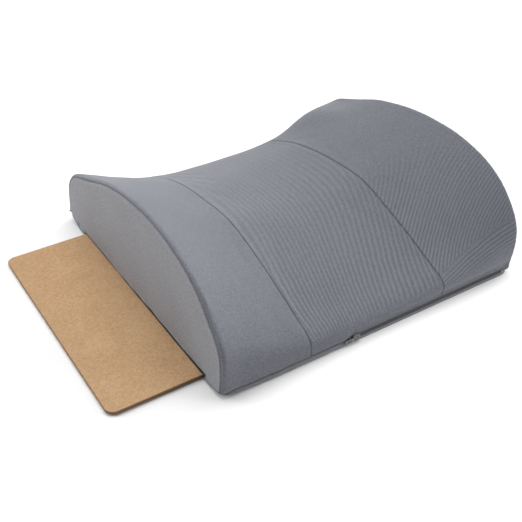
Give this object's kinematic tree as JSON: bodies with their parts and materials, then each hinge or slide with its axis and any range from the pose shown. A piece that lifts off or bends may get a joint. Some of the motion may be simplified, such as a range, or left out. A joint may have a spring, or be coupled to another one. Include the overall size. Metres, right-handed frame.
{
  "type": "lumbar support cushion",
  "caption": "Contoured foam lumbar cushion with raised side wings, a zipped fabric cover and a stiff hardboard insert that slides into a pocket at its back.",
  "frame": {"origin": "centre of the flat back, on its outer face", "axes": "the cushion lies on its flat back: +X across the back from wing to wing, away from the pocket mouth; +Y from the zipped bottom edge to the top edge; +Z through the thickness, towards the sitter"},
  "size_m": [0.4485, 0.334, 0.1216],
  "materials": {
    "cover_cloth": "fine ribbed knit, matt",
    "side_cloth": "plain brushed knit, matt",
    "back_cloth": "plain woven, matt",
    "lining_cloth": "thin non-woven",
    "foam": "open-cell polyurethane foam",
    "hardboard": "pressed wood fibre, bare",
    "thread": "spun polyester thread",
    "zipper_tape": "woven polyester tape",
    "zipper_coil": "nylon coil",
    "zipper_metal": "dark enamel, worn at the edges",
    "label": "satin ribbon, blank"
  },
  "bodies": {
    "cushion": {"foam_core": "foam", "left_wing_panel": "cover_cloth", "centre_panel": "cover_cloth", "right_wing_panel": "cover_cloth", "left_side_panel": "side_cloth", "right_side_panel": "side_cloth", "back_panel": "back_cloth", "pocket_lining": "lining_cloth", "zipper_upper_tape": "zipper_tape", "zipper_lower_tape": "zipper_tape", "zipper_upper_coil": "zipper_coil", "zipper_lower_coil": "zipper_coil", "zipper_top_stop": "zipper_metal", "zipper_bottom_stop": "zipper_metal", "left_panel_seam_thread": "thread", "right_panel_seam_thread": "thread", "left_side_seam_thread": "thread", "right_side_seam_thread": "thread", "base_seam_thread": "thread", "pocket_seam_thread": "thread", "slot_hem_thread": "thread", "zipper_tape_thread": "thread", "care_label": "label"},
    "board": {"board_insert": "hardboard"},
    "slider": {"zipper_slider": "zipper_metal"},
    "pull": {"zipper_pull": "zipper_metal"}
  },
  "joints": [
    {"name": "board_slide", "type": "slide", "parent": "cushion", "child": "board", "axis": [1, 0, 0], "range_m": [-0.21, 0.118]},
    {"name": "zipper_slide", "type": "slide", "parent": "cushion", "child": "slider", "axis": [1, 0, 0], "range_m": [0, 0.188]},
    {"name": "pull_hinge", "type": "hinge", "parent": "slider", "child": "pull", "pos_m": [-0.0285, -0.1672, 0.0048], "axis": [0, 0, 1], "range_deg": [0, 170]}
  ]
}
